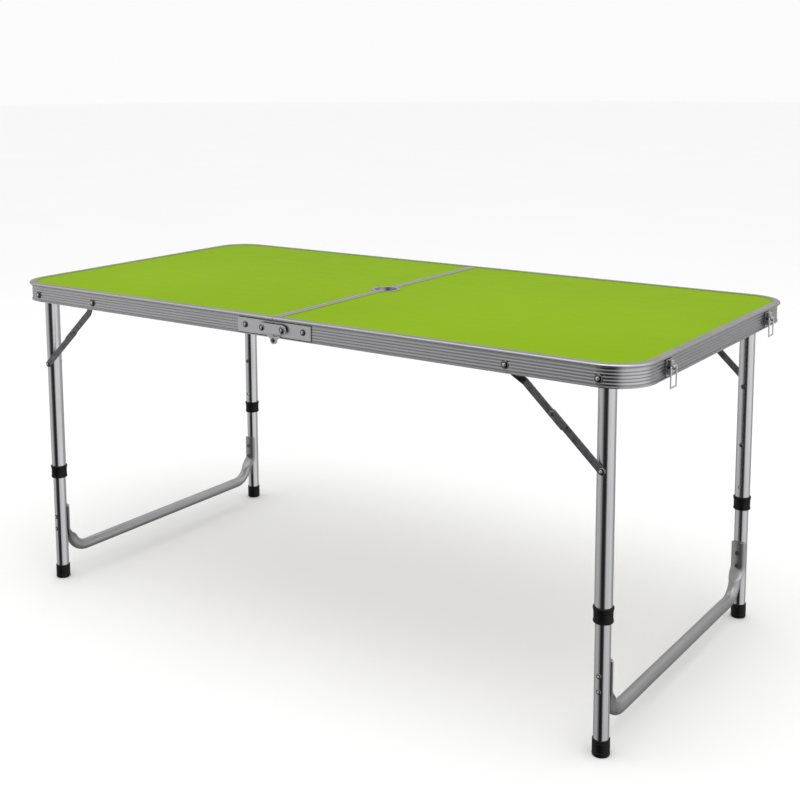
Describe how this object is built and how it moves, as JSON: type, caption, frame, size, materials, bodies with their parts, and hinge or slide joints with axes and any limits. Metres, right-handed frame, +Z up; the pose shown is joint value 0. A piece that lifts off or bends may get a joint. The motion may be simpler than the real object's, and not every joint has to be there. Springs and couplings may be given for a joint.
{
  "type": "folding picnic table",
  "caption": "Suitcase-fold aluminium picnic table with green laminate tops, parasol hole, folding height-adjustable legs, knee braces and draw latches",
  "frame": {"origin": "On the floor under the middle of the parasol hole", "axes": "+X along the length towards the end with the draw latches, +Y towards the back long side, +Z up"},
  "size_m": [1.2108, 0.608, 0.55],
  "materials": {
    "rail_aluminium": "fluted satin anodised extrusion",
    "green_laminate": "fibreboard faced in lime green laminate",
    "trim_aluminium": "satin rolled strip",
    "tube_aluminium": "satin drawn tube",
    "stretcher_aluminium": "satin drawn bar",
    "brace_steel": "dark zinc plated strip",
    "black_plastic": "moulded black",
    "spacer_plastic": "moulded dark grey sleeve",
    "spring_steel": "blued spring leaf",
    "rivet_steel": "bright domed rivet",
    "wire_steel": "zinc plated wire",
    "plate_steel": "zinc plated pressing"
  },
  "bodies": {
    "left_half": {"left_rail": "rail_aluminium", "left_board": "green_laminate", "left_seam_trim": "trim_aluminium", "left_hole_rim": "trim_aluminium", "left_rail_rivets": "rivet_steel", "left_pivot_spacers": "spacer_plastic", "left_hinge_plates": "plate_steel", "left_lock_studs": "rivet_steel", "hinge_pins": "rivet_steel", "latch_catches": "plate_steel", "handle_brackets": "black_plastic"},
    "right_half": {"right_rail": "rail_aluminium", "right_board": "green_laminate", "right_seam_trim": "trim_aluminium", "right_hole_rim": "trim_aluminium", "right_rail_rivets": "rivet_steel", "right_pivot_spacers": "spacer_plastic", "right_hinge_plates": "plate_steel", "right_lock_studs": "rivet_steel", "latch_bases": "plate_steel"},
    "left_legs": {"left_front_upper_leg": "tube_aluminium", "left_back_upper_leg": "tube_aluminium", "left_leg_collars": "black_plastic", "left_brace_rivets": "rivet_steel"},
    "left_extension": {"left_front_lower_leg": "tube_aluminium", "left_back_lower_leg": "tube_aluminium", "left_feet": "black_plastic", "left_stretcher": "stretcher_aluminium", "left_stretcher_rivets": "rivet_steel", "left_button_springs": "spring_steel"},
    "left_front_upper_link": {"left_front_upper_link": "brace_steel"},
    "left_front_lower_link": {"left_front_lower_link": "brace_steel"},
    "left_front_button": {"left_front_button": "rivet_steel"},
    "left_back_upper_link": {"left_back_upper_link": "brace_steel"},
    "left_back_lower_link": {"left_back_lower_link": "brace_steel"},
    "left_back_button": {"left_back_button": "rivet_steel"},
    "right_legs": {"right_front_upper_leg": "tube_aluminium", "right_back_upper_leg": "tube_aluminium", "right_leg_collars": "black_plastic", "right_brace_rivets": "rivet_steel"},
    "right_extension": {"right_front_lower_leg": "tube_aluminium", "right_back_lower_leg": "tube_aluminium", "right_feet": "black_plastic", "right_stretcher": "stretcher_aluminium", "right_stretcher_rivets": "rivet_steel", "right_button_springs": "spring_steel"},
    "right_front_upper_link": {"right_front_upper_link": "brace_steel"},
    "right_front_lower_link": {"right_front_lower_link": "brace_steel"},
    "right_front_button": {"right_front_button": "rivet_steel"},
    "right_back_upper_link": {"right_back_upper_link": "brace_steel"},
    "right_back_lower_link": {"right_back_lower_link": "brace_steel"},
    "right_back_button": {"right_back_button": "rivet_steel"},
    "front_lock_hook": {"front_lock_hook": "plate_steel"},
    "front_latch_lever": {"front_latch_lever": "plate_steel"},
    "front_latch_bail": {"front_latch_bail": "wire_steel"},
    "back_lock_hook": {"back_lock_hook": "plate_steel"},
    "back_latch_lever": {"back_latch_lever": "plate_steel"},
    "back_latch_bail": {"back_latch_bail": "wire_steel"},
    "handle_grip": {"handle_grip": "black_plastic"}
  },
  "joints": [
    {"name": "centre_fold", "type": "hinge", "parent": "left_half", "child": "right_half", "pos_m": [0, 0, 0.5145], "axis": [0, 1, 0], "range_deg": [0, 90]},
    {"name": "left_leg_fold", "type": "hinge", "parent": "left_half", "child": "left_legs", "pos_m": [-0.542, 0, 0.53], "axis": [0, -1, 0], "range_deg": [0, 90]},
    {"name": "left_leg_extension", "type": "slide", "parent": "left_legs", "child": "left_extension", "axis": [0, 0, 1], "range_m": [-0.145, 0]},
    {"name": "left_front_upper_link_pivot", "type": "hinge", "parent": "left_half", "child": "left_front_upper_link", "pos_m": [-0.404, -0.29, 0.53], "axis": [0, -1, 0], "range_deg": [0, 138]},
    {"name": "left_front_lower_link_pivot", "type": "hinge", "parent": "left_legs", "child": "left_front_lower_link", "pos_m": [-0.542, -0.28, 0.402], "axis": [0, -1, 0], "range_deg": [-134, 0]},
    {"name": "left_front_button_press", "type": "slide", "parent": "left_legs", "child": "left_front_button", "axis": [0, -1, 0], "range_m": [0, 0.003], "stiffness_N_per_m": 400, "springref_m": -0.002},
    {"name": "left_back_upper_link_pivot", "type": "hinge", "parent": "left_half", "child": "left_back_upper_link", "pos_m": [-0.404, 0.29, 0.53], "axis": [0, -1, 0], "range_deg": [0, 138]},
    {"name": "left_back_lower_link_pivot", "type": "hinge", "parent": "left_legs", "child": "left_back_lower_link", "pos_m": [-0.542, 0.28, 0.402], "axis": [0, -1, 0], "range_deg": [-134, 0]},
    {"name": "left_back_button_press", "type": "slide", "parent": "left_legs", "child": "left_back_button", "axis": [0, 1, 0], "range_m": [0, 0.003], "stiffness_N_per_m": 400, "springref_m": -0.002},
    {"name": "right_leg_fold", "type": "hinge", "parent": "right_half", "child": "right_legs", "pos_m": [0.542, 0, 0.53], "axis": [0, 1, 0], "range_deg": [0, 90]},
    {"name": "right_leg_extension", "type": "slide", "parent": "right_legs", "child": "right_extension", "axis": [0, 0, 1], "range_m": [-0.145, 0]},
    {"name": "right_front_upper_link_pivot", "type": "hinge", "parent": "right_half", "child": "right_front_upper_link", "pos_m": [0.404, -0.29, 0.53], "axis": [0, 1, 0], "range_deg": [0, 138]},
    {"name": "right_front_lower_link_pivot", "type": "hinge", "parent": "right_legs", "child": "right_front_lower_link", "pos_m": [0.542, -0.28, 0.402], "axis": [0, 1, 0], "range_deg": [-134, 0]},
    {"name": "right_front_button_press", "type": "slide", "parent": "right_legs", "child": "right_front_button", "axis": [0, -1, 0], "range_m": [0, 0.003], "stiffness_N_per_m": 400, "springref_m": -0.002},
    {"name": "right_back_upper_link_pivot", "type": "hinge", "parent": "right_half", "child": "right_back_upper_link", "pos_m": [0.404, 0.29, 0.53], "axis": [0, 1, 0], "range_deg": [0, 138]},
    {"name": "right_back_lower_link_pivot", "type": "hinge", "parent": "right_legs", "child": "right_back_lower_link", "pos_m": [0.542, 0.28, 0.402], "axis": [0, 1, 0], "range_deg": [-134, 0]},
    {"name": "right_back_button_press", "type": "slide", "parent": "right_legs", "child": "right_back_button", "axis": [0, 1, 0], "range_m": [0, 0.003], "stiffness_N_per_m": 400, "springref_m": -0.002},
    {"name": "front_lock_hook_lift", "type": "hinge", "parent": "left_half", "child": "front_lock_hook", "pos_m": [-0.0198, -0.301, 0.533], "axis": [0, -1, 0], "range_deg": [0, 61]},
    {"name": "front_latch_lever_swing", "type": "hinge", "parent": "right_half", "child": "front_latch_lever", "pos_m": [0.601, -0.195, 0.527], "axis": [0, 1, 0], "range_deg": [0, 110]},
    {"name": "front_latch_bail_swing", "type": "hinge", "parent": "front_latch_lever", "child": "front_latch_bail", "pos_m": [0.6032, -0.195, 0.534], "axis": [0, 1, 0], "range_deg": [-111, 0]},
    {"name": "back_lock_hook_lift", "type": "hinge", "parent": "left_half", "child": "back_lock_hook", "pos_m": [-0.0198, 0.301, 0.533], "axis": [0, -1, 0], "range_deg": [0, 61]},
    {"name": "back_latch_lever_swing", "type": "hinge", "parent": "right_half", "child": "back_latch_lever", "pos_m": [0.601, 0.195, 0.527], "axis": [0, 1, 0], "range_deg": [0, 110]},
    {"name": "back_latch_bail_swing", "type": "hinge", "parent": "back_latch_lever", "child": "back_latch_bail", "pos_m": [0.6032, 0.195, 0.534], "axis": [0, 1, 0], "range_deg": [-111, 0]},
    {"name": "handle_swing", "type": "hinge", "parent": "left_half", "child": "handle_grip", "pos_m": [-0.6004, 0, 0.533], "axis": [0, 1, 0], "range_deg": [0, 100]}
  ],
  "couplings": [
    {"joint": "left_front_upper_link_pivot", "follows": "left_leg_fold", "ratio": 1.5239},
    {"joint": "left_front_lower_link_pivot", "follows": "left_leg_fold", "ratio": -1.4761},
    {"joint": "left_back_upper_link_pivot", "follows": "left_leg_fold", "ratio": 1.5239},
    {"joint": "left_back_lower_link_pivot", "follows": "left_leg_fold", "ratio": -1.4761},
    {"joint": "right_front_upper_link_pivot", "follows": "right_leg_fold", "ratio": 1.5239},
    {"joint": "right_front_lower_link_pivot", "follows": "right_leg_fold", "ratio": -1.4761},
    {"joint": "right_back_upper_link_pivot", "follows": "right_leg_fold", "ratio": 1.5239},
    {"joint": "right_back_lower_link_pivot", "follows": "right_leg_fold", "ratio": -1.4761},
    {"joint": "front_lock_hook_lift", "follows": "centre_fold", "ratio": 0.66667},
    {"joint": "front_latch_bail_swing", "follows": "front_latch_lever_swing", "ratio": -1},
    {"joint": "back_lock_hook_lift", "follows": "centre_fold", "ratio": 0.66667},
    {"joint": "back_latch_bail_swing", "follows": "back_latch_lever_swing", "ratio": -1}
  ]
}
